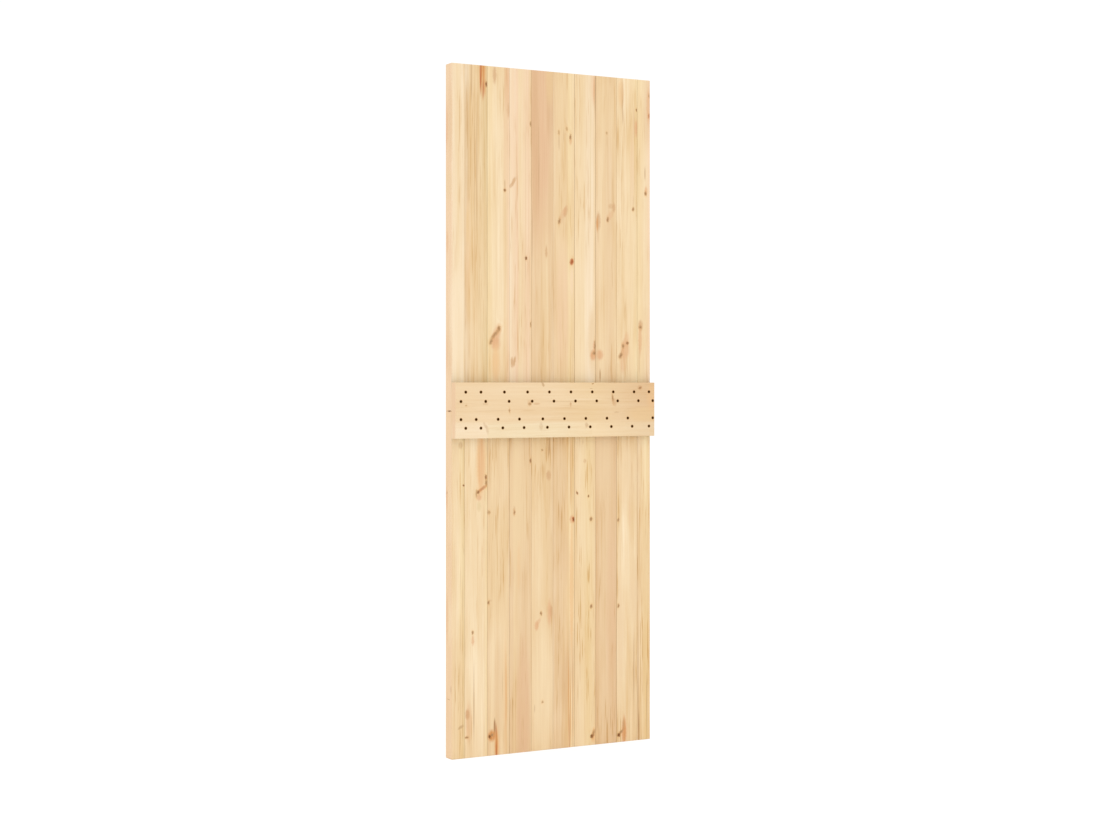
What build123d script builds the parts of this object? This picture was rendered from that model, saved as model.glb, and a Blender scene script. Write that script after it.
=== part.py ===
from build123d import *
import math
import os

# A sliding door leaf. Upright softwood boards are joined tongue to groove, an upper set and a
# lower set that meet end to end at mid-height. One rail covers that joint across the front,
# and two screws hold each board to it.
# Millimetres. X runs across the leaf as seen from the front, the front faces -Y, and Z is up.
# The origin is the middle of the top edge, where the leaf hangs from its hangers.

# The boards
UPPER_BOARD_LENGTH = 1042.5
LOWER_BOARD_LENGTH = 1042.5
FIRST_BOARD_WIDTH = 44
FULL_BOARD_WIDTH = 76
FULL_BOARD_COUNT = 8
LAST_BOARD_WIDTH = 48
BOARD_THICKNESS = 40
END_ARRIS = 1.2

# The joint between two boards side by side
SEAM_ARRIS = 0.5
TONGUE_LENGTH = 6
TONGUE_THICKNESS = 12
TONGUE_ARRIS = 1
TONGUE_SIDE_GAP = 0.2
TONGUE_TIP_GAP = 1

# The rail
RAIL_HEIGHT = 168
RAIL_THICKNESS = 27
RAIL_BELOW_JOINT = 82
RAIL_ARRIS = 1.5

# The screws, countersunk flush with the rail and long enough to bite in the boards.
# They and their holes have twelve flats in place of a round, because there are so many.
ROUND_SIDES = 12
SCREW_LENGTH = 50
SCREW_DIAMETER = 4
HEAD_DIAMETER = 8
HEAD_RIM = 0.2
POINT_LENGTH = 7
POINT_TIP_DIAMETER = 0.8
RECESS_SPAN = 4.4
RECESS_SLOT = 1
RECESS_DEPTH = 1.6
SEAT_GAP = 0.1
RAIL_HOLE_GAP = 0.25
PILOT_GAP = 0.1
PILOT_TIP_GAP = 1

# Where the screws go: each board has one pair, whose two screws stand in two rows
UPPER_ROWS_ABOVE_JOINT = (57, 29)
LOWER_ROWS_BELOW_JOINT = (25, 51)
PAIR_STEP = 16
UPPER_PAIR_TO_NEXT_SEAM = 12
LOWER_PAIR_TO_OWN_SEAM = 25
FIRST_BOARD_PAIR_TO_SEAM = 10
LAST_BOARD_PAIR_TO_EDGE = 7
LAST_BOARD_PAIR_STEP = 14
# A few boards were drilled by eye: how far their pair sits to the left of the others'
UPPER_PAIR_DRILLED_LEFT = {2: 7, 3: 3.5}
LOWER_PAIR_DRILLED_LEFT = {3: 2, 4: 5}

LEAF_WIDTH = FIRST_BOARD_WIDTH + FULL_BOARD_COUNT * FULL_BOARD_WIDTH + LAST_BOARD_WIDTH
BOARD_COUNT = FULL_BOARD_COUNT + 2
LEFT_EDGE = -LEAF_WIDTH / 2
RIGHT_EDGE = LEAF_WIDTH / 2
FIRST_SEAM = LEFT_EDGE + FIRST_BOARD_WIDTH
SEAMS = [FIRST_SEAM + board * FULL_BOARD_WIDTH for board in range(FULL_BOARD_COUNT + 1)]
BOARD_EDGES = [LEFT_EDGE, *SEAMS, RIGHT_EDGE]

TOP = 0
JOINT = TOP - UPPER_BOARD_LENGTH
RAIL_FOOT = JOINT - RAIL_BELOW_JOINT
UPPER_ROWS = [JOINT + rise for rise in UPPER_ROWS_ABOVE_JOINT]
LOWER_ROWS = [JOINT - drop for drop in LOWER_ROWS_BELOW_JOINT]

DOWN = (0, 0, -1)
# Flat faces that look out of the front, with X across and Z upwards on them
BOARD_FACE = Plane(origin=(0, -BOARD_THICKNESS / 2, 0), x_dir=(1, 0, 0), z_dir=(0, -1, 0))
RAIL_FACE = BOARD_FACE.offset(RAIL_THICKNESS)


def board_section(left, right):
    """The cross-section of one board, with its tongue on the left and its groove on the right."""
    section = Pos((left + right) / 2, 0) * Rectangle(right - left, BOARD_THICKNESS)
    seam_corners = [corner for corner in section.vertices() if LEFT_EDGE < corner.X < RIGHT_EDGE]
    section = chamfer(seam_corners, SEAM_ARRIS)
    if left > LEFT_EDGE:
        tongue = Rectangle(TONGUE_LENGTH, TONGUE_THICKNESS, align=(Align.MAX, Align.CENTER))
        tongue = chamfer(tongue.vertices().group_by(Axis.X)[0], TONGUE_ARRIS)
        section += Pos(left, 0) * tongue
    if right < RIGHT_EDGE:
        groove_depth = TONGUE_LENGTH + TONGUE_TIP_GAP
        groove_width = TONGUE_THICKNESS + 2 * TONGUE_SIDE_GAP
        section -= Pos(right, 0) * Rectangle(groove_depth, groove_width, align=(Align.MAX, Align.CENTER))
    return section


def planed_set(top, length):
    """The outside of one set of boards, whose outer edges are eased after they are joined."""
    blank = Box(LEAF_WIDTH, BOARD_THICKNESS, length, align=(Align.CENTER, Align.CENTER, Align.MAX))
    return Pos(0, 0, top) * chamfer(blank.edges(), END_ARRIS)


def upper_screw_places(number):
    """The heads of the two screws of one upper board, on the rail's face."""
    right = BOARD_EDGES[number]
    if number == 1:
        inner = right - FIRST_BOARD_PAIR_TO_SEAM
        columns = [inner, inner - PAIR_STEP]
    elif number == BOARD_COUNT:
        outer = right - LAST_BOARD_PAIR_TO_EDGE
        columns = [outer - LAST_BOARD_PAIR_STEP, outer]
    else:
        second = right - UPPER_PAIR_TO_NEXT_SEAM - UPPER_PAIR_DRILLED_LEFT.get(number, 0)
        columns = [second - PAIR_STEP, second]
    return [Pos(across, height) for across, height in zip(columns, UPPER_ROWS)]


def lower_screw_places(number):
    """The heads of the two screws of one lower board, on the rail's face."""
    left, right = BOARD_EDGES[number - 1], BOARD_EDGES[number]
    if number == 1:
        inner = right - FIRST_BOARD_PAIR_TO_SEAM
        columns = [inner - PAIR_STEP, inner]
    elif number == BOARD_COUNT:
        outer = right - LAST_BOARD_PAIR_TO_EDGE
        columns = [outer, outer - LAST_BOARD_PAIR_STEP]
    else:
        first = left + LOWER_PAIR_TO_OWN_SEAM - LOWER_PAIR_DRILLED_LEFT.get(number, 0)
        columns = [first, first + PAIR_STEP]
    return [Pos(across, height) for across, height in zip(columns, LOWER_ROWS)]


def flat_step(large_radius, small_radius):
    """How far a flat of a nearly round bar moves inwards from one radius to a smaller one."""
    return (large_radius - small_radius) * math.cos(math.pi / ROUND_SIDES)


def round_bar(radius, length):
    """A bar that reaches down from the origin, nearly round in section."""
    return extrude(RegularPolygon(radius, ROUND_SIDES), amount=length, dir=DOWN)


def sunk_bar(head_radius, shank_radius, length):
    """A round bar under a countersunk head, with the top of the head at the origin."""
    cone_depth = flat_step(head_radius, shank_radius)
    head = round_bar(head_radius, HEAD_RIM + cone_depth)
    head = chamfer(head.faces().sort_by(Axis.Z)[0].edges(), cone_depth)
    return head + round_bar(shank_radius, length)


def pilot_hole():
    """The narrow blind hole that a screw's thread bites in."""
    depth = SCREW_LENGTH - RAIL_THICKNESS + PILOT_TIP_GAP
    return round_bar(SCREW_DIAMETER / 2 + PILOT_GAP, depth)


def make_board(number, top, length, places):
    """One upright board, cut from its joined and planed set, with its two pilot holes."""
    section = Pos(0, 0, top) * board_section(BOARD_EDGES[number - 1], BOARD_EDGES[number])
    board = extrude(section, amount=length, dir=DOWN) & planed_set(top, length)
    pilot = pilot_hole()
    return board - [BOARD_FACE * place * pilot for place in places]


def rail_hole():
    """The clearance hole through the rail, with the countersink that the head seats in."""
    sink_radius = HEAD_DIAMETER / 2 + SEAT_GAP
    return sunk_bar(sink_radius, SCREW_DIAMETER / 2 + RAIL_HOLE_GAP, RAIL_THICKNESS)


def make_rail(places):
    """The rail across the middle, with its front edges eased and a hole for every screw."""
    across_leaf = Rectangle(LEAF_WIDTH, RAIL_HEIGHT, align=(Align.CENTER, Align.MIN))
    blank = extrude(BOARD_FACE * Pos(0, RAIL_FOOT) * across_leaf, amount=RAIL_THICKNESS)
    rail = chamfer(blank.faces().sort_by(Axis.Y)[0].edges(), RAIL_ARRIS)
    hole = rail_hole()
    return rail - [RAIL_FACE * place * hole for place in places]


def make_screw():
    """One countersunk screw, standing head up with the middle of its head at the origin."""
    shank_radius = SCREW_DIAMETER / 2
    screw = sunk_bar(HEAD_DIAMETER / 2, shank_radius, SCREW_LENGTH)
    foot = screw.faces().sort_by(Axis.Z)[0]
    point_step = flat_step(shank_radius, POINT_TIP_DIAMETER / 2)
    screw = chamfer(foot.edges(), point_step, POINT_LENGTH, reference=foot)
    cross = Rectangle(RECESS_SPAN, RECESS_SLOT) + Rectangle(RECESS_SLOT, RECESS_SPAN)
    return screw - extrude(cross, amount=RECESS_DEPTH, dir=DOWN)


def make_screws(places):
    """The two screws that hold one board to the rail."""
    screw = make_screw()
    return Compound([RAIL_FACE * place * screw for place in places])


def save(name, shape):
    export_step(shape, f"parts/{name}.step")


os.makedirs("parts", exist_ok=True)
all_places = []
for number in range(1, BOARD_COUNT + 1):
    upper_places = upper_screw_places(number)
    lower_places = lower_screw_places(number)
    save(f"upper_board_{number:02d}", make_board(number, TOP, UPPER_BOARD_LENGTH, upper_places))
    save(f"lower_board_{number:02d}", make_board(number, JOINT, LOWER_BOARD_LENGTH, lower_places))
    save(f"upper_screws_{number:02d}", make_screws(upper_places))
    save(f"lower_screws_{number:02d}", make_screws(lower_places))
    all_places += upper_places + lower_places
save("mid_rail", make_rail(all_places))
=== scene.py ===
import bmesh
import bpy
from mathutils import Color, Euler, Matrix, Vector


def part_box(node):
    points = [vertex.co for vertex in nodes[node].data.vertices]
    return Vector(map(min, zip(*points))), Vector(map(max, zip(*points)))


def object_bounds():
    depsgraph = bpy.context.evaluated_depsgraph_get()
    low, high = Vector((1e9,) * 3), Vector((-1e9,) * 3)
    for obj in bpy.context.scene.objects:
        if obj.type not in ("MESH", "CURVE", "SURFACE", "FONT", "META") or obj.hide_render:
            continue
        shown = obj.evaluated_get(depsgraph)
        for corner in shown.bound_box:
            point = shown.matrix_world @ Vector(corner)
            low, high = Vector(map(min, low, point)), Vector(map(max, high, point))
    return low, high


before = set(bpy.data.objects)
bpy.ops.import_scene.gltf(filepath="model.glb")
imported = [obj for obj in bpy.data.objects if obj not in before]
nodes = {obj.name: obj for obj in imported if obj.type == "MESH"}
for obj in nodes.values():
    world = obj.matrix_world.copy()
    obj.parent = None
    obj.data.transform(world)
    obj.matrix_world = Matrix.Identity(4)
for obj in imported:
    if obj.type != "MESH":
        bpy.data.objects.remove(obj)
cad_low, cad_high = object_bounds()


# The upright boards
# Twenty planed boards of solid pine, ten above mid-height and ten below, are pushed together
# tongue to groove. The wood is raw, so each board keeps its own tone, growth rings, knots and
# streaks of resin, and only a fine dark line shows where two boards meet.
BOARDS_IN_A_ROW = 10
LEFT_EDGE, RIGHT_EDGE = cad_low.x, cad_high.x
FOOT = cad_low.z
BOARD_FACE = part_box("upper_board_01")[0].y
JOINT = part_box("upper_board_01")[0].z
SEAMS = [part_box(f"upper_board_{number:02d}")[1].x for number in range(1, BOARDS_IN_A_ROW)]
BOARD_EDGES = [LEFT_EDGE, *SEAMS, RIGHT_EDGE]

# The brightest that the red, green or blue of a tone can be
BRIGHTEST = 255


def tone(red, green, blue):
    """A colour as an eye sees it, in the linear numbers that a shader takes."""
    seen = Color([part / BRIGHTEST for part in (red, green, blue)])
    return (*seen.from_srgb_to_scene_linear(), 1.0)


PALE = tone(251, 229, 195)
CREAM = tone(248, 223, 182)
BUTTER = tone(247, 221, 173)
STRAW = tone(244, 216, 175)
HONEY = tone(242, 213, 168)
SAND = tone(238, 207, 164)
GOLDEN = tone(236, 201, 150)
TAN = tone(230, 194, 150)
ROSY_TAN = tone(231, 189, 149)
BLUSH = tone(248, 217, 182)
PEACH = tone(241, 205, 166)
OLIVE = tone(233, 206, 157)
SILVER = tone(238, 211, 172)
ROSE = tone(228, 175, 129)
APRICOT = tone(240, 196, 142)
RESIN = tone(218, 152, 88)
RUST = tone(198, 118, 70)
BARK = tone(196, 154, 108)
BRANCH = tone(178, 131, 86)
KNOTTY = tone(217, 174, 128)
UMBER = tone(148, 98, 52)

# Halfway up a noise or a shade, which both run from 0 to 1
HALFWAY = 0.5

# How far each seed moves a noise along X, Y and Z, and how much detail a noise has
SEED_STEPS = (1.0, 0.7, 0.3)
NOISE_DETAIL = 2.0

# The sockets of a Mix node that take and give colours, and the output of a Vector Math node that
# gives a number
MIX_SHARE, MIX_FIRST, MIX_SECOND, MIX_RESULT = 0, 6, 7, 2
NUMBER_OUTPUT = 1


class Signal:
    """A number, a place or a colour on its way through a finish. Sums on numbers add Math nodes."""

    def __init__(self, finish, socket):
        self.finish = finish
        self.socket = socket

    def math(self, operation, *others):
        return self.finish.math(operation, self, *others)

    def __add__(self, other):
        return self.math("ADD", other)

    def __sub__(self, other):
        return self.math("SUBTRACT", other)

    def __rsub__(self, other):
        return self.finish.math("SUBTRACT", other, self)

    def __mul__(self, other):
        return self.math("MULTIPLY", other)

    def __truediv__(self, other):
        return self.math("DIVIDE", other)

    def __rtruediv__(self, other):
        return self.finish.math("DIVIDE", other, self)

    def __neg__(self):
        return self * -1.0

    __radd__ = __add__
    __rmul__ = __mul__


class Finish:
    """The nodes that a material, or the light of the room, is made of."""

    def __init__(self, owner, seed=0.0):
        owner.use_nodes = True
        self.tree = owner.node_tree
        self.tree.nodes.clear()
        self.offset = [seed * step for step in SEED_STEPS]

    def node(self, kind, settings, sockets, output=0):
        """Adds one node. Its settings come first, then the values or links of its sockets."""
        made = self.tree.nodes.new(kind)
        for name, value in settings.items():
            if name == "stops":
                elements = made.color_ramp.elements
                for step, (at, colour) in enumerate(value):
                    element = elements[step] if step < len(elements) else elements.new(at)
                    element.position = at
                    element.color = colour
            else:
                setattr(made, name, value)
        for name, value in sockets.items():
            if isinstance(value, Signal):
                self.tree.links.new(value.socket, made.inputs[name])
            else:
                made.inputs[name].default_value = value
        if made.outputs:
            return Signal(self, made.outputs[output])

    def math(self, operation, *numbers):
        return self.node("ShaderNodeMath", {"operation": operation}, dict(enumerate(numbers)))

    def vector_math(self, operation, *vectors, output=0):
        return self.node(
            "ShaderNodeVectorMath", {"operation": operation}, dict(enumerate(vectors)), output)

    def length(self, vector):
        return self.vector_math("LENGTH", vector, output=NUMBER_OUTPUT)

    def tint(self, colour, by):
        """The colour with each of its three parts multiplied."""
        return self.vector_math("MULTIPLY", colour, by)

    def join(self, *parts):
        return self.node("ShaderNodeCombineXYZ", {}, dict(enumerate(parts)))

    def split(self, vector):
        return [self.node("ShaderNodeSeparateXYZ", {}, {0: vector}, part) for part in range(3)]

    def ease(self, value, start, end):
        """0 where the value is at start, 1 where it is at end, and smooth in between."""
        return self.node(
            "ShaderNodeMapRange", {"interpolation_type": "SMOOTHSTEP"},
            {"Value": value, "From Min": start, "From Max": end})

    def mix(self, share, first, second):
        return self.node(
            "ShaderNodeMix", {"data_type": "RGBA"},
            {MIX_SHARE: share, MIX_FIRST: first, MIX_SECOND: second}, MIX_RESULT)

    def ramp(self, share, stops):
        """The colour at a share of the way along a row of colours."""
        return self.node("ShaderNodeValToRGB", {"stops": stops}, {0: share})

    def noise(self, place, fineness, detail=NOISE_DETAIL):
        """Cloudy noise around 0, as fine in each direction as the numbers in fineness."""
        moved = self.vector_math("MULTIPLY_ADD", place, fineness, self.offset)
        noise = self.node(
            "ShaderNodeTexNoise", {}, {"Vector": moved, "Scale": 1.0, "Detail": detail})
        return noise - HALFWAY

    def surface(self, sockets):
        """The shader on the outside of a material."""
        shader = self.node("ShaderNodeBsdfPrincipled", {}, sockets)
        self.node("ShaderNodeOutputMaterial", {}, {"Surface": shader})


# How deep the marks reach into the wood
BRANCH_DEPTH = 0.060
STAIN_DEPTH = 0.030
SIDE_STAIN_DEPTH = 0.005


def place_mark(kind, across, deep, up, size, colour, share, lean=0.0):
    """One mark, whose middle is measured from the leaf's left edge, the wood's face and the foot.

    Its top leans to the right by so many radians."""
    return {"kind": kind, "middle": (LEFT_EDGE + across, deep, FOOT + up), "size": size,
            "colour": colour, "share": share, "turn": Euler((0.0, lean, 0.0))}


def knot(across, up, width, height, colour, share, lean=0.0):
    """The end of a branch that grew through the wood."""
    size = (width / 2, BRANCH_DEPTH, height / 2)
    return place_mark("knot", across, 0.0, up, size, colour, share, lean)


def streak(across, up, width, height, colour, share, lean=0.0):
    """A place where resin or heartwood has run along the grain in fine streaks."""
    size = (width / 2, STAIN_DEPTH, height / 2)
    return place_mark("streak", across, 0.0, up, size, colour, share, lean)


def patch(across, up, width, height, colour, share, lean=0.0):
    """A soft patch of another tone."""
    size = (width / 2, STAIN_DEPTH, height / 2)
    return place_mark("patch", across, 0.0, up, size, colour, share, lean)


def side_patch(deep, up, width, height, colour, share):
    """A patch on the wood's left end or edge."""
    size = (SIDE_STAIN_DEPTH, width / 2, height / 2)
    return place_mark("patch", 0.0, deep, up, size, colour, share)


# Which of X, Y and Z run across, into and along a board
UPRIGHT = (0, 1, 2)

# Each kind of grain: how fine it is across, into and along the wood, and how much it counts
WANDER_FINENESS, WANDER = (7, 7, 1.1), 0.010
BANDS = (
    ((16, 16, 1.3), 0.80),
    ((55, 55, 1.8), 0.90),
    ((170, 170, 4.0), 0.80),
    ((520, 520, 9.0), 0.70),
)
FIBRE_FINENESS, FIBRE_SHARE, FIBRE_DETAIL = (1500, 1500, 26), 0.40, 3.0
CLOUD_FINENESS, CLOUD_SHARE = (13, 13, 3.4), 1.30
DASH_FINENESS, DASH_RANGE, DASH_SHARE = (270, 270, 8), (0.07, 0.17), 0.85
DASHES_GATHER = (0.08, -0.10)
MOTTLE_FINENESS, MOTTLE = (420, 420, 420), 0.8

# How fine the ragged rim of a mark is, how far it strays, and the grey in the middle of that noise
RAGGED_FINENESS, RAGGED = 150.0, (0.006, 0.0, 0.006)
MID_GREY = (HALFWAY, HALFWAY, HALFWAY)

# How far from its middle each kind of mark starts and is at its full strength, where 1 is its rim,
# and how much of it stays between the streaks
STREAK_RANGE = (-0.16, 0.14)
STAINS = {"patch": ((1.1, 0.4), 0.7), "streak": ((1.0, 0.35), 0.4)}
SKIRT_SPREAD, SKIRT_RIM, SKIRT_SOLID = (1.9, 2.6), (1.0, 0.2), 0.4
KNOT_RIM, KNOT_HEART = (1.3, 0.55), (0.75, 0.1)

# How each kind of grain changes the tone of the wood under it
DARK_BAND = (0.90, 0.82, 0.70)
PALE_BAND = (1.05, 1.09, 1.17)
LATEWOOD_TINT = (0.91, 0.81, 0.66)
DASH_TINT = (0.80, 0.66, 0.48)
SKIRT_TINT, SKIRT_SHARE = (0.95, 0.83, 0.66), 0.75
KNOT_HEART_TINT = (0.68, 0.60, 0.52)
END_GRAIN_TINT = (0.97, 0.95, 0.93)

# The growth rings: where in a year its dark wood begins, is darkest and stops, and how uneven the
# years are. The rings swell round a knot.
LATEWOOD_START, LATEWOOD_DARKEST, LATEWOOD_STOP = 0.25, 0.88, 0.95
FAINTEST_YEAR = 0.3
UNEVEN_YEARS, OUTWARDS = 90.0, (1, 0, 0)
SWELL_AT_A_KNOT, SWELL_REACH = 0.0045, 0.45

# The dark line between two boards: how far from the seam it ends, and how far it is full
SEAM_LINE = (0.0009, 0.0002)
SEAM_TINT = (0.52, 0.45, 0.37)

# Painted shadow of the rail on the boards' faces: how far from the rail it fades, and how deep it
# lies
RAIL_SHADOW_TINT = (0.75, 0.82, 0.88)
RAIL_SHADOW_FADE = 0.0175
RAIL_SHADOW_DEPTH = 0.002

# How the planed surface feels, and how squarely a face looks along the grain to be end grain
END_FACES = 0.8
FIBRE_HEIGHT, LATEWOOD_HEIGHT = 0.7, 0.3
RELIEF_STRENGTH, RELIEF = 0.6, 0.00012
ROUGHNESS, LATEWOOD_POLISH = 0.62, 0.08
SHEEN = 0.3


class Pine(Finish):
    """Planed raw pine, worked out right through the wood so that all its faces agree.

    face is where the wood's front is along Y. lie says which of X, Y and Z run across, into and
    along the wood. Each method that starts with lay adds one thing to the colour so far."""

    def __init__(self, name, seed, face, lie, marks, stave_shift=None):
        self.material = bpy.data.materials.new(name)
        super().__init__(self.material, seed)
        self.face = face
        self.lie = lie
        self.place = self.node("ShaderNodeTexCoord", {}, {}, "Object")
        self.axes = self.split(self.place)
        across, self.deep, self.along = (self.axes[axis] for axis in lie)
        if stave_shift:
            self.along = self.along + stave_shift(across, self.along)

        trunk = self.join(across, self.deep, self.along)
        self.bent = across + self.noise(trunk, WANDER_FINENESS) * WANDER
        self.grain = self.join(self.bent, self.deep, self.along)
        self.fibres = self.noise(self.grain, FIBRE_FINENESS, FIBRE_DETAIL)
        self.clouds = self.noise(trunk, CLOUD_FINENESS)
        self.bands = [self.noise(self.grain, fineness) for fineness, _ in BANDS]
        self.streaky = self.ease(self.bands[-2] + self.bands[-1], *STREAK_RANGE)

        cloud = self.node(
            "ShaderNodeTexNoise", {}, {"Vector": self.place, "Scale": RAGGED_FINENESS}, "Color")
        off_middle = self.vector_math("SUBTRACT", cloud, MID_GREY)
        self.ragged = self.vector_math("MULTIPLY_ADD", off_middle, RAGGED, self.place)
        self.reached = [(mark, self.reach(mark)) for mark in marks]

    def reach(self, mark, wide=1.0, tall=1.0):
        """How far a place is from a mark's middle, where 1 is the mark's rim."""
        across, deep, up = mark["middle"]
        half_width, half_depth, half_height = mark["size"]
        outline = self.place if mark["kind"] == "streak" else self.ragged
        local = self.node("ShaderNodeMapping", {"vector_type": "TEXTURE"}, {
            "Vector": outline, "Location": (across, self.face + deep, up), "Rotation": mark["turn"],
            "Scale": (half_width * wide, half_depth, half_height * tall)})
        return self.length(local)

    def growth_rings(self, pith, ring_width):
        """Where the dark wood is that each year ends with, from 0 to 1.

        pith is where the trunk's middle was, across, into and how far it leans along the wood."""
        pith_across, pith_deep, lean = pith
        behind = self.deep - pith_deep + self.along * lean
        radius = self.length(self.join(self.bent - pith_across, behind, 0.0))
        for mark, far in self.reached:
            if mark["kind"] == "knot":
                near = far * SWELL_REACH
                radius = radius + self.math("EXPONENT", -(near * near)) * SWELL_AT_A_KNOT
        years = radius / ring_width + self.noise(radius * UNEVEN_YEARS, OUTWARDS)
        within = years.math("FRACT")
        darkening = self.ease(within, LATEWOOD_START, LATEWOOD_DARKEST)
        stopping = self.ease(within, 1.0, LATEWOOD_STOP)
        strength = self.node(
            "ShaderNodeTexWhiteNoise", {"noise_dimensions": "1D"}, {"W": years.math("FLOOR")})
        return darkening * stopping * (strength * (1.0 - FAINTEST_YEAR) + FAINTEST_YEAR)

    def lay_grain(self, colour, rings, figure, dashes):
        """Streaky bands, then growth rings, then short dark fibres.

        figure is how streaky the wood is, and dashes how strongly the dark fibres show."""
        shade = self.fibres * FIBRE_SHARE + self.clouds * CLOUD_SHARE
        for band, (_, counts) in zip(self.bands, BANDS):
            shade = shade + band * counts
        shade = shade * figure + HALFWAY
        colour = self.mix(shade, self.tint(colour, DARK_BAND), self.tint(colour, PALE_BAND))
        colour = self.mix(rings, colour, self.tint(colour, LATEWOOD_TINT))
        dash = self.ease(self.noise(self.grain, DASH_FINENESS), *DASH_RANGE)
        gathered = self.ease(self.clouds + self.bands[0], *DASHES_GATHER)
        return self.mix(
            dash * gathered * (DASH_SHARE * dashes), colour, self.tint(colour, DASH_TINT))

    def between(self, solid):
        """Fine streaks that never thin out to less than the solid share."""
        return self.streaky * (1.0 - solid) + solid

    def lay_stains(self, colour):
        """The patches and streaks, in the order of the marks."""
        for mark, far in self.reached:
            if mark["kind"] in STAINS:
                rim, solid = STAINS[mark["kind"]]
                cover = self.ease(far, *rim) * self.between(solid)
                colour = self.mix(cover * mark["share"], colour, mark["colour"])
        return colour

    def lay_knots(self, colour):
        """The knots, each with a skirt of darker wood round it and a dark heart."""
        mottle = self.noise(self.place, MOTTLE_FINENESS) * MOTTLE
        for mark, far in self.reached:
            if mark["kind"] == "knot":
                skirt = self.ease(self.reach(mark, *SKIRT_SPREAD), *SKIRT_RIM)
                skirt = skirt * self.between(SKIRT_SOLID)
                colour = self.mix(skirt * SKIRT_SHARE, colour, self.tint(colour, SKIRT_TINT))
                rough_far = far + mottle
                heart = self.tint(mark["colour"][:3], KNOT_HEART_TINT)
                body = self.mix(self.ease(rough_far, *KNOT_HEART), mark["colour"], heart)
                colour = self.mix(self.ease(rough_far, *KNOT_RIM) * mark["share"], colour, body)
        return colour

    def lay_lines(self, colour, lines):
        """A fine dark line at each joint, given as a coordinate, its value there and a strength."""
        dark = self.tint(colour, SEAM_TINT)
        for coordinate, edge, strength in lines:
            near = self.ease((coordinate - edge).math("ABSOLUTE"), *SEAM_LINE)
            colour = self.mix(near * strength, colour, dark)
        return colour

    def lay_rail_shadow(self, colour, edge, strength):
        """Painted shadow of the rail on the face of the wood, darkest at the height of one edge of
        the rail.
        """
        _, y, z = self.axes
        painted_shadow = self.math("EXPONENT", (z - edge).math("ABSOLUTE") / -RAIL_SHADOW_FADE) * strength
        painted_shadow = painted_shadow * y.math("LESS_THAN", self.face + RAIL_SHADOW_DEPTH)
        return self.mix(painted_shadow, colour, self.tint(colour, RAIL_SHADOW_TINT))

    def plane(self, colour, latewood):
        """Gives the material its surface: darker end grain, and the fine relief of the fibres."""
        normal = self.node("ShaderNodeTexCoord", {}, {}, "Normal")
        end = self.split(normal)[self.lie[-1]].math("ABSOLUTE").math("GREATER_THAN", END_FACES)
        colour = self.mix(end, colour, self.tint(colour, END_GRAIN_TINT))
        relief = self.fibres * FIBRE_HEIGHT + latewood * LATEWOOD_HEIGHT
        bump = self.node("ShaderNodeBump", {}, {
            "Strength": RELIEF_STRENGTH, "Distance": RELIEF, "Height": relief})
        self.surface({
            "Base Color": colour, "Roughness": ROUGHNESS - latewood * LATEWOOD_POLISH,
            "Normal": bump, "Specular IOR Level": SHEEN})
        return self.material


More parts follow.
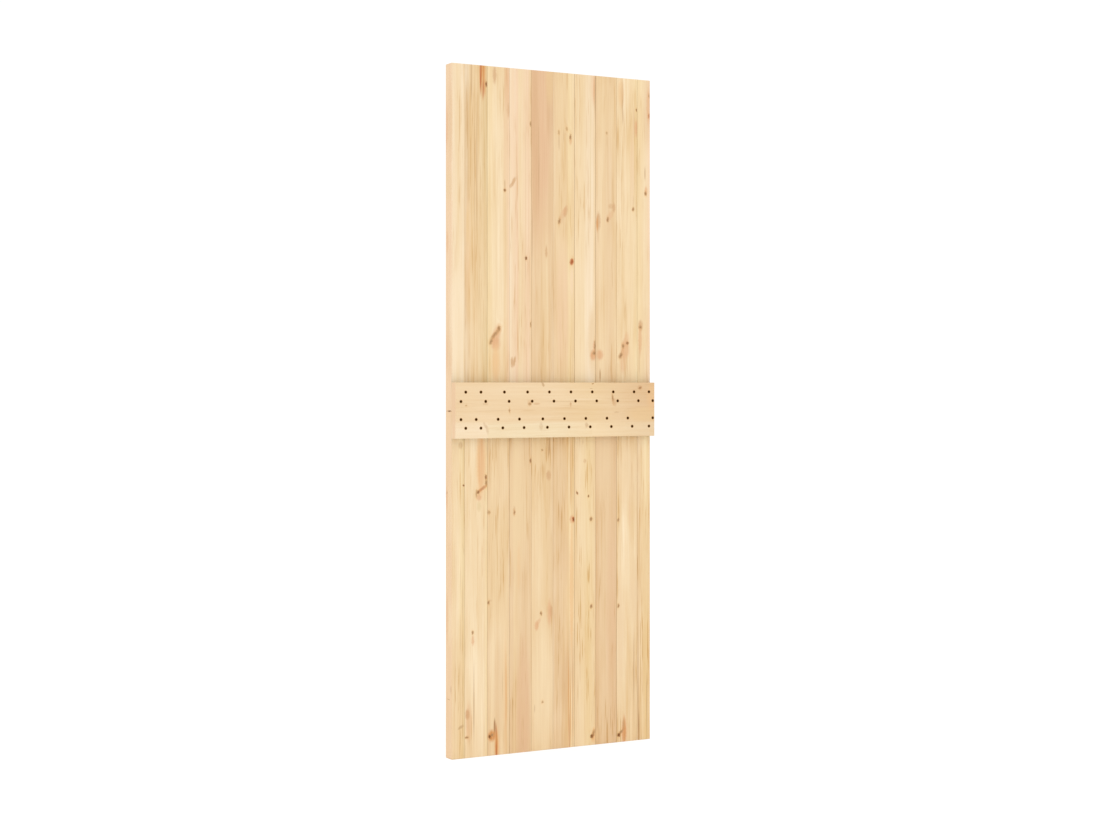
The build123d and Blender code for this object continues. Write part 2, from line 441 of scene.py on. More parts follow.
# Each board's tones across its face and the marks in its wood, measured from the leaf's left edge
# and from its foot
UPPER_BOARDS = [
    {"tones": ((0.000, PALE), (0.022, CREAM), (0.038, PALE), (0.044, CREAM)),
     "pith": (-0.10, 0.06, 0.010), "figure": 0.7, "marks": [
        side_patch(0.026, 1.50, 0.074, 6.00, PEACH, 1.0),
        side_patch(0.010, 1.91, 0.036, 0.300, TAN, 0.6),
        side_patch(0.012, 1.26, 0.044, 0.280, TAN, 0.6),
        side_patch(0.034, 1.90, 0.024, 0.170, ROSE, 0.6),
        side_patch(0.028, 1.55, 0.020, 0.090, ROSE, 0.5),
        side_patch(0.020, 1.72, 0.060, 0.120, OLIVE, 0.4),
        side_patch(0.032, 1.22, 0.016, 0.140, ROSE, 0.5),
        side_patch(0.014, JOINT - FOOT, 0.030, 0.006, UMBER, 0.9),
        patch(0.020, 1.33, 0.070, 0.360, PALE, 0.8)]},
    {"tones": ((0.044, SILVER), (0.056, SILVER), (0.063, HONEY), (0.086, HONEY), (0.120, OLIVE)),
     "pith": (0.08, 0.05, 0.012), "figure": 1.5, "marks": [
        patch(0.107, 1.50, 0.044, 0.560, HONEY, 0.5),
        patch(0.058, 1.24, 0.036, 0.200, STRAW, 0.5),
        patch(0.055, 1.50, 0.022, 0.500, APRICOT, 0.45),
        streak(0.054, 1.60, 0.015, 0.160, GOLDEN, 0.8),
        streak(0.056, 1.36, 0.014, 0.130, GOLDEN, 0.8),
        streak(0.066, 2.04, 0.008, 0.180, BARK, 0.8),
        streak(0.105, 2.07, 0.034, 0.210, APRICOT, 0.9),
        streak(0.104, 2.07, 0.026, 0.180, RESIN, 1.0),
        streak(0.0975, 2.06, 0.008, 0.160, RUST, 1.0),
        streak(0.106, 2.01, 0.010, 0.080, RUST, 1.0),
        streak(0.113, 2.02, 0.008, 0.070, RESIN, 0.9),
        knot(0.117, 2.029, 0.009, 0.018, BRANCH, 0.95),
        streak(0.077, 1.80, 0.003, 0.900, BARK, 0.5),
        streak(0.085, 1.76, 0.004, 0.600, BARK, 0.7)]},
    {"tones": ((0.120, BUTTER), (0.150, CREAM), (0.172, CREAM), (0.180, HONEY), (0.196, BLUSH)),
     "pith": (0.02, 0.09, 0.010), "figure": 0.9, "marks": [
        patch(0.145, 2.06, 0.016, 0.070, KNOTTY, 0.8),
        patch(0.187, 2.03, 0.022, 0.220, ROSE, 0.5),
        patch(0.192, 1.955, 0.012, 0.060, KNOTTY, 0.8),
        patch(0.185, 1.85, 0.026, 0.400, PEACH, 0.5),
        knot(0.180, 1.712, 0.009, 0.010, BRANCH, 0.95),
        streak(0.180, 1.730, 0.006, 0.040, BARK, 0.5),
        patch(0.150, 1.268, 0.034, 0.090, ROSE, 0.8, 0.3),
        patch(0.150, 1.245, 0.036, 0.050, ROSE, 0.8),
        patch(0.150, 1.185, 0.034, 0.150, APRICOT, 0.8),
        knot(0.160, 1.292, 0.012, 0.018, BARK, 0.9),
        knot(0.146, 1.274, 0.012, 0.044, BARK, 0.75, 0.75),
        knot(0.133, 1.252, 0.010, 0.020, BARK, 0.9, 0.4)]},
    {"tones": ((0.196, PALE), (0.222, BLUSH), (0.230, CREAM), (0.260, BLUSH), (0.272, HONEY)),
     "pith": (-0.05, 0.10, 0.006), "figure": 0.5, "marks": [
        patch(0.207, 1.90, 0.024, 0.500, BLUSH, 0.7),
        patch(0.211, 1.742, 0.014, 0.036, KNOTTY, 0.9, 0.5),
        patch(0.202, 1.728, 0.014, 0.026, KNOTTY, 0.7, 0.8),
        knot(0.269, 1.919, 0.006, 0.016, BARK, 0.8),
        knot(0.2535, 1.508, 0.009, 0.011, UMBER, 0.95),
        streak(0.252, 1.48, 0.003, 0.140, BARK, 0.5),
        patch(0.213, 1.193, 0.011, 0.040, KNOTTY, 1.0, 0.2),
        patch(0.205, 1.190, 0.014, 0.040, KNOTTY, 0.9),
        knot(0.270, 1.306, 0.005, 0.018, BARK, 0.8),
        streak(0.251, 1.75, 0.003, 0.600, BARK, 0.35),
        streak(0.262, 1.65, 0.003, 0.600, TAN, 0.5)]},
    {"tones": ((0.272, SAND), (0.290, SAND), (0.325, HONEY), (0.336, SAND), (0.348, SAND)),
     "pith": (0.10, 0.03, 0.004), "figure": 1.0, "marks": [
        patch(0.302, 1.96, 0.110, 1.000, ROSY_TAN, 1.0),
        patch(0.284, 1.85, 0.036, 0.700, KNOTTY, 0.5),
        patch(0.338, 1.98, 0.034, 0.300, KNOTTY, 0.5),
        patch(0.336, 2.06, 0.036, 0.200, GOLDEN, 0.7),
        patch(0.338, 1.68, 0.020, 0.330, TAN, 0.9),
        streak(0.298, 1.80, 0.004, 0.500, BARK, 0.7),
        streak(0.286, 1.40, 0.005, 0.400, TAN, 0.6),
        patch(0.324, 1.53, 0.010, 0.050, KNOTTY, 0.8),
        streak(0.275, 1.58, 0.003, 0.260, BRANCH, 0.6)]},
    {"tones": ((0.348, SAND), (0.370, HONEY), (0.398, HONEY), (0.404, BUTTER), (0.424, HONEY)),
     "pith": (0.03, 0.08, 0.012), "figure": 0.9, "marks": [
        patch(0.361, 1.79, 0.040, 0.300, STRAW, 0.5),
        knot(0.3685, 1.900, 0.007, 0.014, BARK, 0.5),
        streak(0.369, 1.87, 0.008, 0.070, BARK, 0.4),
        knot(0.397, 1.912, 0.008, 0.014, BARK, 0.5, -0.3),
        knot(0.4095, 1.888, 0.008, 0.020, BARK, 0.9),
        patch(0.4095, 1.876, 0.012, 0.030, ROSE, 0.7),
        streak(0.386, 1.89, 0.004, 0.060, BARK, 0.5),
        patch(0.392, 1.657, 0.018, 0.044, KNOTTY, 0.9, 0.2),
        patch(0.385, 1.652, 0.020, 0.060, ROSE, 0.5, 0.5),
        knot(0.370, 1.626, 0.010, 0.020, BARK, 0.9, 0.25),
        patch(0.378, 1.634, 0.026, 0.040, TAN, 0.6),
        knot(0.4145, 1.502, 0.014, 0.021, RUST, 1.0, 0.2),
        patch(0.414, 1.44, 0.014, 0.120, BLUSH, 0.7),
        patch(0.380, 1.36, 0.060, 0.500, PEACH, 0.7)]},
    {"tones": ((0.424, CREAM), (0.455, CREAM), (0.470, PALE), (0.488, PALE), (0.500, HONEY)),
     "pith": (-0.09, 0.05, 0.008), "figure": 0.6, "marks": [
        patch(0.440, 1.24, 0.040, 0.220, CREAM, 0.6),
        patch(0.487, 1.26, 0.036, 0.260, SAND, 0.8),
        patch(0.492, 2.06, 0.022, 0.160, PEACH, 0.8),
        streak(0.498, 2.03, 0.010, 0.220, BARK, 0.7),
        streak(0.4945, 2.04, 0.007, 0.130, RESIN, 0.6),
        streak(0.482, 1.85, 0.004, 0.600, OLIVE, 0.8),
        knot(0.495, 1.220, 0.013, 0.013, BARK, 0.95),
        knot(0.497, 1.243, 0.006, 0.036, BARK, 0.8),
        patch(0.492, 1.213, 0.030, 0.040, ROSE, 1.0),
        patch(0.495, 1.238, 0.014, 0.050, ROSE, 0.8)]},
    {"tones": ((0.500, SAND), (0.520, HONEY), (0.550, SAND), (0.576, HONEY)),
     "pith": (0.06, 0.07, 0.010), "figure": 0.9, "marks": [
        patch(0.540, 1.98, 0.070, 0.260, HONEY, 0.6),
        patch(0.556, 1.45, 0.050, 0.340, STRAW, 0.5),
        knot(0.540, 1.909, 0.008, 0.010, BARK, 0.6),
        streak(0.541, 1.885, 0.007, 0.060, BARK, 0.4),
        patch(0.566, 1.676, 0.014, 0.036, KNOTTY, 1.0),
        patch(0.555, 1.680, 0.026, 0.020, KNOTTY, 0.6),
        knot(0.544, 1.638, 0.009, 0.015, BRANCH, 0.85),
        patch(0.552, 1.650, 0.024, 0.050, ROSE, 0.4, 0.6),
        patch(0.510, 1.632, 0.020, 0.070, KNOTTY, 1.0),
        streak(0.506, 1.622, 0.009, 0.070, RESIN, 0.9),
        streak(0.509, 1.59, 0.010, 0.070, TAN, 0.7),
        streak(0.563, 1.72, 0.005, 0.160, BARK, 0.4),
        patch(0.514, 1.215, 0.034, 0.040, ROSE, 0.85),
        streak(0.516, 1.15, 0.007, 0.056, BARK, 1.0)]},
    {"tones": ((0.576, CREAM), (0.590, CREAM), (0.620, CREAM), (0.652, BUTTER)),
     "pith": (-0.04, 0.10, 0.012), "figure": 1.2, "marks": [
        patch(0.626, 1.56, 0.070, 0.640, CREAM, 0.8),
        streak(0.597, 2.03, 0.012, 0.140, BARK, 1.0),
        streak(0.599, 1.965, 0.007, 0.070, BARK, 0.6),
        patch(0.592, 2.04, 0.026, 0.120, APRICOT, 0.6),
        knot(0.6495, 1.988, 0.006, 0.009, BRANCH, 0.8),
        streak(0.640, 1.95, 0.008, 0.140, TAN, 0.7),
        patch(0.648, 1.93, 0.015, 0.066, ROSE, 0.9),
        patch(0.634, 1.80, 0.020, 0.300, PEACH, 0.5),
        knot(0.637, 1.675, 0.009, 0.014, BARK, 0.95),
        streak(0.638, 1.70, 0.006, 0.050, BARK, 0.5),
        knot(0.616, 1.253, 0.011, 0.011, BRANCH, 0.95),
        knot(0.600, 1.243, 0.010, 0.014, BARK, 0.9),
        knot(0.591, 1.213, 0.013, 0.020, BARK, 0.95, 0.5),
        streak(0.596, 1.228, 0.006, 0.036, BARK, 0.8, 0.4),
        patch(0.607, 1.233, 0.038, 0.074, ROSE, 0.8),
        patch(0.613, 1.262, 0.022, 0.060, ROSE, 0.6),
        patch(0.600, 1.19, 0.030, 0.080, ROSE, 0.5)]},
    {"tones": ((0.652, BUTTER), (0.680, CREAM), (0.700, BLUSH)),
     "pith": (0.10, 0.05, 0.006), "figure": 0.8, "marks": [
        patch(0.690, 1.98, 0.034, 0.280, TAN, 0.5),
        patch(0.686, 1.43, 0.034, 0.240, CREAM, 0.7),
        patch(0.694, 2.00, 0.018, 0.140, ROSE, 0.7),
        knot(0.696, 2.036, 0.006, 0.012, BARK, 0.7),
        knot(0.696, 1.972, 0.006, 0.018, RUST, 0.6),
        streak(0.681, 1.79, 0.005, 0.060, BARK, 0.8),
        knot(0.683, 1.726, 0.009, 0.014, BARK, 0.95),
        patch(0.685, 1.735, 0.014, 0.036, ROSE, 0.6),
        knot(0.664, 1.303, 0.012, 0.011, BARK, 0.9),
        patch(0.665, 1.308, 0.022, 0.045, KNOTTY, 1.0),
        patch(0.663, 1.262, 0.017, 0.120, ROSE, 0.8),
        streak(0.659, 1.20, 0.007, 0.140, BARK, 0.7)]},
]
LOWER_BOARDS = [
    {"tones": ((0.000, HONEY), (0.018, CREAM), (0.032, BUTTER), (0.044, OLIVE)),
     "pith": (-0.07, 0.05, 0.012), "figure": 1.2, "marks": [
        patch(0.012, 0.84, 0.030, 0.240, CREAM, 0.5),
        patch(0.033, 0.22, 0.030, 0.440, HONEY, 0.6),
        side_patch(0.026, 0.50, 0.074, 6.00, PEACH, 0.9),
        side_patch(0.014, 0.41, 0.044, 0.160, CREAM, 0.5),
        side_patch(0.010, 0.74, 0.040, 0.220, CREAM, 0.4),
        side_patch(0.014, JOINT - FOOT, 0.030, 0.006, UMBER, 0.9),
        side_patch(0.030, 0.420, 0.024, 0.170, ROSE, 0.4),
        side_patch(0.032, 0.780, 0.016, 0.080, ROSE, 0.6),
        side_patch(0.031, 0.797, 0.007, 0.010, BRANCH, 0.9),
        side_patch(0.004, 0.209, 0.006, 0.030, BRANCH, 0.7),
        side_patch(0.020, 0.178, 0.022, 0.005, BARK, 0.7),
        patch(0.018, 0.72, 0.036, 0.260, CREAM, 0.7),
        knot(0.0405, 0.8195, 0.006, 0.007, UMBER, 0.9),
        streak(0.030, 0.940, 0.020, 0.030, BARK, 0.5),
        streak(0.039, 0.63, 0.005, 0.050, BARK, 0.3, -0.15),
        streak(0.030, 0.54, 0.004, 0.120, BARK, 0.25),
        streak(0.037, 0.47, 0.005, 0.200, BARK, 0.3),
        streak(0.030, 0.37, 0.004, 0.160, BARK, 0.5),
        patch(0.031, 0.095, 0.024, 0.012, BARK, 0.7, -0.5)]},
    {"tones": ((0.044, CREAM), (0.060, CREAM), (0.085, CREAM), (0.108, CREAM), (0.120, BUTTER)),
     "pith": (0.10, 0.06, 0.010), "figure": 0.9, "marks": [
        patch(0.084, 0.66, 0.060, 0.260, CREAM, 0.5),
        patch(0.099, 0.890, 0.040, 0.260, APRICOT, 1.0),
        patch(0.100, 0.880, 0.026, 0.200, ROSE, 0.5),
        knot(0.1155, 0.843, 0.008, 0.016, BRANCH, 0.9),
        knot(0.1165, 0.826, 0.009, 0.022, BARK, 0.8),
        knot(0.103, 0.808, 0.010, 0.036, RUST, 0.55, 1.0),
        knot(0.0895, 0.798, 0.010, 0.012, BRANCH, 0.95),
        knot(0.083, 0.793, 0.006, 0.026, BARK, 0.6),
        patch(0.092, 0.782, 0.020, 0.026, ROSE, 0.7),
        patch(0.092, 0.755, 0.018, 0.040, OLIVE, 0.7),
        knot(0.0705, 0.3765, 0.008, 0.011, BARK, 0.9),
        patch(0.071, 0.352, 0.012, 0.040, ROSE, 0.7),
        streak(0.075, 0.16, 0.004, 0.330, BARK, 1.0),
        streak(0.110, 0.06, 0.004, 0.160, BARK, 0.4),
        patch(0.0535, 0.131, 0.018, 0.040, KNOTTY, 1.0),
        patch(0.058, 0.105, 0.026, 0.150, ROSE, 0.5),
        knot(0.051, 0.0625, 0.013, 0.007, BARK, 0.85)]},
    {"tones": ((0.120, SAND), (0.135, HONEY), (0.160, HONEY), (0.188, HONEY), (0.196, SAND)),
     "pith": (-0.03, 0.09, 0.010), "figure": 1.4, "marks": [
        patch(0.170, 0.84, 0.060, 0.240, STRAW, 0.5),
        patch(0.134, 0.57, 0.050, 0.460, HONEY, 0.8),
        patch(0.172, 0.66, 0.050, 0.260, HONEY, 0.5),
        patch(0.158, 0.20, 0.040, 0.440, TAN, 0.5),
        knot(0.1255, 0.736, 0.011, 0.013, BARK, 0.6),
        knot(0.1245, 0.463, 0.008, 0.013, BARK, 0.95),
        patch(0.131, 0.469, 0.012, 0.008, KNOTTY, 0.3),
        streak(0.184, 0.17, 0.007, 0.360, RESIN, 0.8),
        streak(0.172, 0.21, 0.003, 0.120, BARK, 0.7),
        patch(0.182, 0.18, 0.018, 0.500, APRICOT, 0.4),
        streak(0.187, 0.02, 0.006, 0.150, GOLDEN, 0.9),
        patch(0.153, 0.02, 0.022, 0.140, APRICOT, 0.9),
        streak(0.1515, 0.03, 0.013, 0.130, RESIN, 1.0),
        streak(0.145, 0.085, 0.010, 0.070, BRANCH, 1.0),
        streak(0.1505, 0.075, 0.005, 0.060, RUST, 0.9),
        streak(0.151, 0.01, 0.005, 0.100, RUST, 0.9),
        patch(0.136, 0.060, 0.036, 0.044, RESIN, 1.0),
        knot(0.1365, 0.062, 0.010, 0.012, BARK, 0.8),
        knot(0.128, 0.0585, 0.010, 0.012, UMBER, 1.0)]},
    {"tones": ((0.196, SAND), (0.206, SAND), (0.212, HONEY), (0.240, SAND), (0.272, SAND)),
     "pith": (0.07, 0.04, 0.006), "figure": 0.8, "marks": [
        patch(0.243, 0.12, 0.060, 0.560, ROSY_TAN, 0.75),
        patch(0.230, 0.77, 0.090, 0.500, HONEY, 0.8),
        patch(0.228, 0.57, 0.014, 0.180, APRICOT, 0.4),
        knot(0.269, 0.889, 0.006, 0.015, BRANCH, 0.8),
        knot(0.213, 0.733, 0.007, 0.011, BRANCH, 0.7),
        patch(0.212, 0.737, 0.011, 0.040, KNOTTY, 0.6),
        streak(0.247, 0.50, 0.004, 0.250, BARK, 0.35)]},
    {"tones": ((0.272, HONEY), (0.300, HONEY), (0.330, HONEY), (0.348, SAND)),
     "pith": (0.02, 0.08, 0.014), "figure": 0.8, "marks": [
        patch(0.312, 0.18, 0.100, 0.560, CREAM, 0.8),
        streak(0.3345, 0.93, 0.007, 0.080, BARK, 0.85, 0.05),
        knot(0.310, 0.921, 0.007, 0.007, BARK, 0.7),
        patch(0.332, 0.843, 0.020, 0.038, KNOTTY, 1.0),
        knot(0.3055, 0.420, 0.008, 0.013, BARK, 0.95),
        patch(0.297, 0.395, 0.014, 0.030, ROSE, 0.6, 0.5),
        patch(0.290, 0.383, 0.018, 0.036, ROSE, 0.9),
        patch(0.341, 0.425, 0.013, 0.046, KNOTTY, 1.0),
        patch(0.335, 0.42, 0.018, 0.100, ROSE, 0.7),
        knot(0.3105, 0.148, 0.009, 0.009, BARK, 0.6),
        streak(0.283, 0.13, 0.005, 0.036, BARK, 0.45)]},
    {"tones": ((0.348, SAND), (0.375, SAND), (0.400, GOLDEN), (0.408, BUTTER), (0.424, HONEY)),
     "pith": (-0.08, 0.05, 0.008), "figure": 1.4, "marks": [
        patch(0.373, 0.84, 0.066, 0.260, SAND, 0.8),
        patch(0.411, 0.29, 0.036, 0.260, KNOTTY, 0.4),
        patch(0.392, 0.58, 0.036, 0.200, TAN, 0.5),
        patch(0.392, 0.20, 0.036, 0.240, KNOTTY, 0.4),
        streak(0.4045, 0.86, 0.007, 0.320, CREAM, 0.9),
        streak(0.4115, 0.86, 0.006, 0.300, ROSE, 0.9),
        streak(0.4100, 0.85, 0.004, 0.300, BARK, 0.4),
        patch(0.414, 0.50, 0.018, 0.500, APRICOT, 0.9),
        streak(0.403, 0.16, 0.005, 0.350, RESIN, 0.7),
        streak(0.410, 0.12, 0.006, 0.320, RESIN, 0.7),
        streak(0.418, 0.15, 0.005, 0.450, KNOTTY, 1.0),
        streak(0.406, 0.05, 0.006, 0.200, RUST, 0.8),
        patch(0.414, 0.706, 0.018, 0.030, ROSE, 0.8),
        knot(0.4205, 0.705, 0.010, 0.018, RUST, 1.0),
        knot(0.4215, 0.704, 0.005, 0.012, UMBER, 0.9)]},
    {"tones": ((0.424, HONEY), (0.440, CREAM), (0.475, BUTTER), (0.500, HONEY)),
     "pith": (0.05, 0.07, 0.012), "figure": 0.8, "marks": [
        patch(0.462, 0.66, 0.050, 0.260, CREAM, 0.5),
        knot(0.4335, 0.786, 0.007, 0.013, BRANCH, 0.95, -0.4),
        knot(0.474, 0.775, 0.006, 0.008, UMBER, 0.85),
        knot(0.4835, 0.704, 0.011, 0.013, BARK, 0.95),
        streak(0.454, 0.945, 0.005, 0.024, BARK, 0.7),
        patch(0.461, 0.885, 0.014, 0.016, KNOTTY, 0.6),
        streak(0.470, 0.59, 0.005, 0.070, OLIVE, 0.9, -0.15),
        knot(0.484, 0.432, 0.009, 0.014, BARK, 0.95, 0.25),
        patch(0.471, 0.21, 0.010, 0.040, OLIVE, 0.4, 0.4),
        patch(0.494, 0.03, 0.018, 0.060, APRICOT, 0.9),
        knot(0.492, 0.035, 0.010, 0.030, BARK, 0.7, 0.3),
        knot(0.486, 0.028, 0.010, 0.013, UMBER, 1.0)]},
    {"tones": ((0.500, TAN), (0.515, SAND), (0.545, SAND), (0.576, TAN)),
     "pith": (-0.10, 0.04, 0.006), "figure": 0.8, "marks": [
        patch(0.555, 0.42, 0.044, 0.700, ROSY_TAN, 0.4),
        patch(0.530, 0.87, 0.080, 0.350, SAND, 0.7),
        streak(0.505, 0.03, 0.010, 0.060, GOLDEN, 0.9)]},
    {"tones": ((0.576, HONEY), (0.600, CREAM), (0.625, HONEY), (0.652, HONEY)),
     "pith": (0.04, 0.09, 0.012), "figure": 1.2, "marks": [
        patch(0.618, 0.84, 0.096, 0.280, STRAW, 0.8),
        patch(0.639, 0.475, 0.040, 0.240, SAND, 0.7),
        patch(0.592, 0.34, 0.036, 0.360, SAND, 0.7),
        knot(0.5825, 0.698, 0.008, 0.013, BARK, 0.95, 0.2),
        knot(0.5825, 0.4275, 0.008, 0.014, BARK, 0.95, 0.2),
        streak(0.625, 0.72, 0.006, 0.120, PEACH, 0.9),
        streak(0.640, 0.20, 0.005, 0.400, BARK, 0.8),
        patch(0.604, 0.030, 0.022, 0.120, ROSE, 1.0),
        streak(0.604, 0.035, 0.016, 0.110, RESIN, 1.0),
        streak(0.602, 0.055, 0.010, 0.050, BARK, 1.0),
        knot(0.593, 0.032, 0.008, 0.022, BARK, 0.8, 0.9),
        knot(0.5845, 0.0225, 0.011, 0.013, UMBER, 1.0, 0.4)]},
    {"tones": ((0.652, SAND), (0.664, HONEY), (0.685, BUTTER), (0.700, HONEY)),
     "pith": (-0.05, 0.06, 0.008), "figure": 1.5, "marks": [
        patch(0.687, 0.57, 0.036, 0.440, HONEY, 0.7),
        streak(0.656, 0.20, 0.005, 0.500, BARK, 0.6),
        streak(0.6585, 0.040, 0.008, 0.150, BRANCH, 1.0),
        streak(0.688, 0.10, 0.006, 0.300, BARK, 0.8),
        streak(0.694, 0.94, 0.006, 0.030, ROSE, 0.4)]},
]

# How wide a year's growth is in turn, and how strongly the rings and the dark fibres show
RING_WIDTHS = (0.0052, 0.0041, 0.0047, 0.0060, 0.0044)
BOARD_RINGS = 0.25
DASHES = {"upper": 0.7, "lower": 1.1}

# How dark the line of each seam is, from left to right, and that of the joint at mid-height
SEAM_STRENGTHS = {
    "upper": (0.2, 0.8, 0.4, 0.5, 0.3, 0.9, 1.0, 0.4, 0.8),
    "lower": (0.4, 0.7, 0.7, 0.4, 0.4, 0.7, 0.5, 0.8, 0.6),
}
JOINT_STRENGTH = 1.0

# The edge of the rail that the painted shadow lies beside, and how dark the painted shadow is there
RAIL_LOW, RAIL_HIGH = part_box("mid_rail")
RAIL_SHADOW = {"upper": (RAIL_HIGH.z, 1.0), "lower": (RAIL_LOW.z, 0.7)}

# The seed of each board's noise, so that no two boards show the same wood
FIRST_SEEDS = {"upper": 0.0, "lower": 137.0}
SEED_STEP = 10.0


def board_pine(half, number, board):
    """The wood of one board, whose pith is measured from the board's middle."""
    left, right = BOARD_EDGES[number - 1], BOARD_EDGES[number]
    seed = FIRST_SEEDS[half] + SEED_STEP * number
    wood = Pine(f"pine_{half}_{number:02d}", seed, BOARD_FACE, UPRIGHT, board["marks"])
    aside, behind, lean = board["pith"]
    pith = ((left + right) / 2 + aside, behind, lean)
    latewood = wood.growth_rings(pith, RING_WIDTHS[number % len(RING_WIDTHS)])
    stops = [((LEFT_EDGE + at - left) / (right - left), colour) for at, colour in board["tones"]]
    colour = wood.ramp((wood.bent - left) / (right - left), stops)
    colour = wood.lay_grain(colour, latewood * BOARD_RINGS, board["figure"], DASHES[half])
    colour = wood.lay_stains(colour)
    colour = wood.lay_knots(colour)
    x, _, z = wood.axes
    seams = zip(SEAMS, SEAM_STRENGTHS[half])
    lines = [(x, seam, strength) for seam, strength in seams if seam in (left, right)]
    colour = wood.lay_lines(colour, [*lines, (z, JOINT, JOINT_STRENGTH)])
    # Painted shadow of the rail on the boards, above and below it
    colour = wood.lay_rail_shadow(colour, *RAIL_SHADOW[half])
    return wood.plane(colour, latewood)


def wear(node, material):
    """Gives a CAD node its finish in place of its plain one."""
    node.data.materials.clear()
    node.data.materials.append(material)


for half, boards in (("upper", UPPER_BOARDS), ("lower", LOWER_BOARDS)):
    for number, board in enumerate(boards, 1):
        wear(nodes[f"{half}_board_{number:02d}"], board_pine(half, number, board))


# The rail
# One wide pine rail, glued up from long staves, lies across the joint between the two sets of
# boards. Its grain runs level, and its front edges are eased by hand.
RAIL_FACE = RAIL_LOW.y
RAIL_MARKS = [
    side_patch(0.014, 1.060, 0.034, 0.400, PEACH, 1.0),
    knot(0.252, 1.063, 0.012, 0.010, BARK, 0.8),
    patch(0.250, 1.068, 0.020, 0.022, TAN, 0.6),
    streak(0.275, 1.064, 0.034, 0.009, KNOTTY, 0.8),
    knot(0.182, 1.043, 0.006, 0.013, BARK, 0.7),
    knot(0.035, 1.059, 0.006, 0.005, BARK, 0.5),
    patch(0.298, 1.122, 0.010, 0.018, BARK, 0.9, -0.5),
    patch(0.395, 1.061, 0.007, 0.020, KNOTTY, 1.0),
    knot(0.546, 1.080, 0.007, 0.024, BARK, 0.85, -0.15),
    patch(0.550, 1.070, 0.019, 0.038, KNOTTY, 0.7, -0.4),
    knot(0.646, 1.112, 0.014, 0.008, BRANCH, 0.7, -0.5),
    patch(0.645, 1.113, 0.022, 0.018, KNOTTY, 0.7),
    patch(0.098, 1.000, 0.011, 0.026, BARK, 0.35, -0.5),
    patch(0.106, 0.988, 0.011, 0.038, BARK, 0.35, -0.2),
    patch(0.291, 0.995, 0.016, 0.030, BARK, 0.35),
    patch(0.452, 0.997, 0.015, 0.020, BARK, 0.5),
    patch(0.100, 1.064, 0.024, 0.010, BARK, 0.3),
    knot(0.474, 1.125, 0.008, 0.004, BRANCH, 0.7),
    streak(0.468, 1.110, 0.016, 0.003, BARK, 0.8),
    streak(0.130, 1.043, 0.170, 0.003, BARK, 0.5),
    streak(0.400, 1.070, 0.300, 0.003, BARK, 0.4),
    streak(0.420, 1.077, 0.300, 0.004, PALE, 0.6),
    patch(0.560, 1.036, 0.026, 0.006, BARK, 0.35),
    patch(0.660, 1.028, 0.160, 0.060, GOLDEN, 0.8),
    patch(0.690, 1.085, 0.050, 0.110, APRICOT, 0.5),
]

# Which of X, Y and Z run across, into and along the rail, and how its wood has grown
LYING = (2, 1, 0)
RAIL_SEED = 71.0
RAIL_PITH = (-1.10, 0.05, 0.006)
RAIL_RING_WIDTH = 0.0085
RAIL_FIGURE, RAIL_RINGS, RAIL_DASHES = 0.5, 0.12, 0.3

# The staves under the glue line meet end to end at two butts, and each starts further along the
# grain than the one before
GLUE_LINE = FOOT + 1.007
FIRST_BUTT = LEFT_EDGE + 0.109
SECOND_BUTT = LEFT_EDGE + 0.472
STAVE_SHIFT = 3.0

# The tones of the staves along the rail, from 0 at its left end to 1 at its right, and how far
# the two blend at the glue line
TONE_BLEND = 0.006
IVORY = tone(248, 228, 191)
UPPER_STAVE_TONES = ((0.0, STRAW), (0.48, STRAW), (0.68, HONEY), (0.82, SAND), (1.0, TAN))
LOWER_STAVE_TONES = (
    (0.0, PALE), (0.150, PALE), (0.160, IVORY), (0.50, IVORY), (0.70, CREAM), (1.0, SILVER))

# A darker brown ring round each screw's head: how far from the screw's middle it
# ends, and how far it is full
SCREW_RING = (0.0056, 0.0044)
SCREW_RING_TINT = (0.50, 0.32, 0.12)
ACROSS_AND_UP = (1, 0, 1)


def stave_shift(across, along):
    """Where the growth of a stave starts, so that no two staves show the same wood."""
    low = across.math("LESS_THAN", GLUE_LINE)
    butts = along.math("GREATER_THAN", FIRST_BUTT) + along.math("GREATER_THAN", SECOND_BUTT)
    return low * (butts + 1.0) * STAVE_SHIFT


def stave_tones(wood):
    """The staves along the foot are paler, and the right end is golden."""
    share = (wood.axes[0] - LEFT_EDGE) / (RIGHT_EDGE - LEFT_EDGE)
    low = wood.ease(wood.bent, GLUE_LINE + TONE_BLEND, GLUE_LINE - TONE_BLEND)
    return wood.mix(low, wood.ramp(share, UPPER_STAVE_TONES), wood.ramp(share, LOWER_STAVE_TONES))


def middle(numbers):
    return (min(numbers) + max(numbers)) / 2


def screw_heads():
    """Where the middles of the screws are across and up the rail, read from their solids."""
    heads = []
    for name, node in nodes.items():
        if "screws" in name:
            places = [vertex.co for vertex in node.data.vertices]
            halfway = middle([place.x for place in places])
            left = [place for place in places if place.x < halfway]
            right = [place for place in places if place.x > halfway]
            for screw in (left, right):
                across = middle([place.x for place in screw])
                up = middle([place.z for place in screw])
                heads.append((across, 0.0, up))
    return heads


def ring_screws(wood, colour):
    """The colour with a brown rim round each screw."""
    level = wood.vector_math("MULTIPLY", wood.place, ACROSS_AND_UP)
    nearest, *others = [
        wood.vector_math("DISTANCE", level, head, output=NUMBER_OUTPUT) for head in screw_heads()]
    for other in others:
        nearest = nearest.math("MINIMUM", other)
    return wood.mix(wood.ease(nearest, *SCREW_RING), colour, wood.tint(colour, SCREW_RING_TINT))


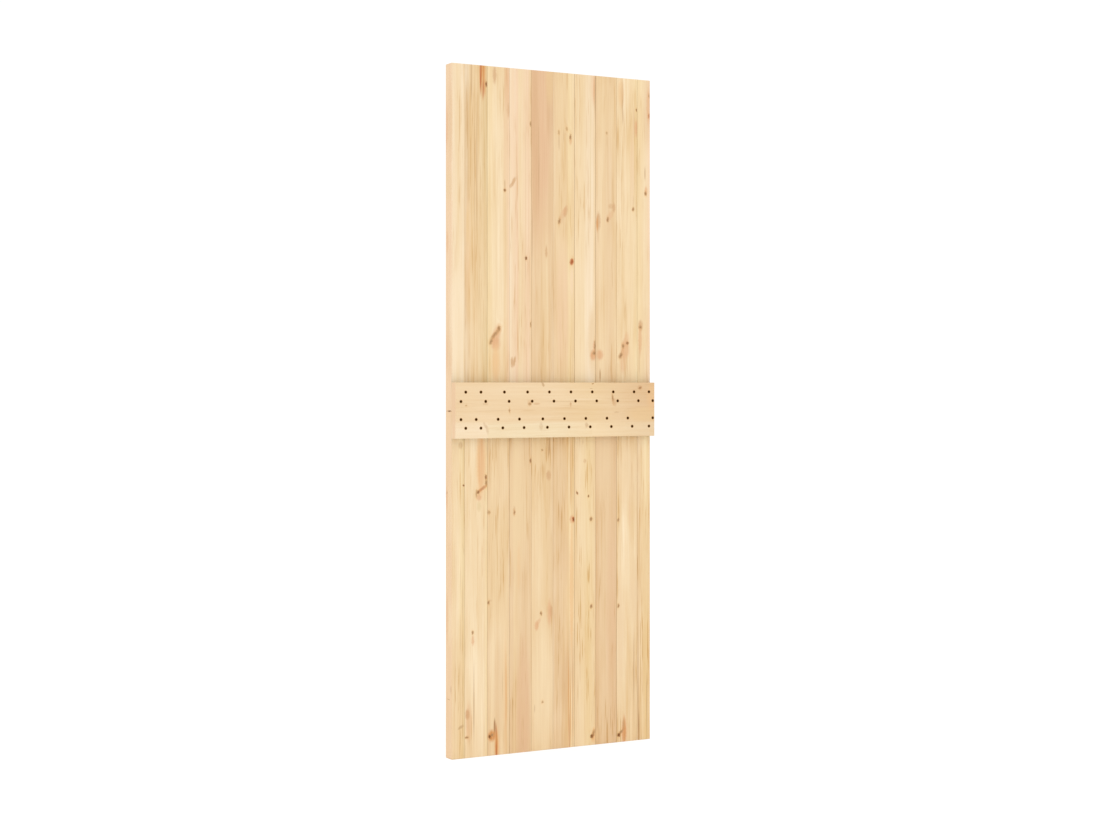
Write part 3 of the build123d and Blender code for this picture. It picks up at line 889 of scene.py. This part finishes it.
def rail_pine():
    """The wood of the rail."""
    wood = Pine("pine_rail", RAIL_SEED, RAIL_FACE, LYING, RAIL_MARKS, stave_shift)
    latewood = wood.growth_rings(RAIL_PITH, RAIL_RING_WIDTH)
    colour = wood.lay_grain(stave_tones(wood), latewood * RAIL_RINGS, RAIL_FIGURE, RAIL_DASHES)
    colour = wood.lay_stains(colour)
    colour = wood.lay_knots(colour)
    # A darker brown ring round each screw's head
    colour = ring_screws(wood, colour)
    return wood.plane(colour, latewood)


wear(nodes["mid_rail"], rail_pine())


# The screws
# Forty countersunk screws of blackened steel, with crossed recesses, are driven through the rail
# into the boards, two to each board.
BLACKENED, RUBBED = tone(46, 24, 2), tone(74, 43, 8)
RUB_FINENESS, RUB_SEED = (900, 900, 900), 4.0
STEEL_ROUGHNESS, RUB_ROUGHNESS, STEEL_SHEEN = 0.45, 0.25, 0.05


def black_steel():
    """Blackened steel, a little brighter where a driver has rubbed it."""
    material = bpy.data.materials.new("black_oxide_steel")
    steel = Finish(material, RUB_SEED)
    place = steel.node("ShaderNodeTexCoord", {}, {}, "Object")
    rubbed = steel.noise(place, RUB_FINENESS) + HALFWAY
    steel.surface({
        "Base Color": steel.mix(rubbed, BLACKENED, RUBBED),
        "Roughness": rubbed * RUB_ROUGHNESS + STEEL_ROUGHNESS, "Specular IOR Level": STEEL_SHEEN})
    return material


screw_steel = black_steel()
for name, node in nodes.items():
    if "screws" in name:
        wear(node, screw_steel)


# The floor and the light
# The leaf stands upright on a white studio floor, in plain white light from all round. It is seen
# from its left, from a level camera at about half its height.
FLOOR_REACH = 12.0
PAPER = tone(250, 250, 250)
SEEN_PAPER = tone(150, 150, 150)
PAPER_ROUGHNESS = 0.9
PAPER_GLOW = 0.78
DARK, WHITE = (0.0, 0.0, 0.0, 1.0), (1.0, 1.0, 1.0, 1.0)
DAYLIGHT = 1.04
SEEN_RAYS = ("Is Camera Ray", "Is Glossy Ray", "Is Transmission Ray")


def studio_floor():
    """Paper that looks white where it is lit and keeps the leaf's faint shadow."""
    material = bpy.data.materials.new("studio_floor")
    paper = Finish(material)
    camera_ray, glossy_ray, clear_ray = (
        paper.node("ShaderNodeLightPath", {}, {}, name) for name in SEEN_RAYS)
    seen = camera_ray.math("MAXIMUM", glossy_ray).math("MAXIMUM", clear_ray)
    paper.surface({
        "Base Color": paper.mix(seen, PAPER, SEEN_PAPER), "Roughness": PAPER_ROUGHNESS,
        "Specular IOR Level": 0.0, "Emission Color": paper.mix(seen, DARK, WHITE),
        "Emission Strength": PAPER_GLOW})
    return material


sheet = bmesh.new()
bmesh.ops.create_grid(sheet, x_segments=1, y_segments=1, size=FLOOR_REACH)
bmesh.ops.translate(sheet, verts=sheet.verts, vec=(0, 0, FOOT))
floor_mesh = bpy.data.meshes.new("floor")
sheet.to_mesh(floor_mesh)
sheet.free()
floor_mesh.materials.append(studio_floor())
floor = bpy.data.objects.new("floor", floor_mesh)
bpy.context.scene.collection.objects.link(floor)

world = bpy.data.worlds.new("studio")
bpy.context.scene.world = world
air = Finish(world)
white = air.node("ShaderNodeBackground", {}, {"Color": WHITE, "Strength": DAYLIGHT})
air.node("ShaderNodeOutputWorld", {}, {"Surface": white})

CAMERA_PLACE = (-2.889, -5.171, -0.9643)
CAMERA_LOOKS = Vector((0.4875, 0.8731, 0.0))
LENS, FILM_WIDTH, FILM_DROP = 62.78, 36.0, -0.0245
camera_data = bpy.data.cameras.new("camera")
camera_data.sensor_width = FILM_WIDTH
camera_data.lens = LENS
camera_data.shift_y = FILM_DROP
camera = bpy.data.objects.new("camera", camera_data)
camera.location = CAMERA_PLACE
camera.rotation_euler = CAMERA_LOOKS.to_track_quat("-Z", "Y").to_euler()
bpy.context.scene.collection.objects.link(camera)
bpy.context.scene.camera = camera
bpy.context.scene.view_settings.view_transform = "Standard"
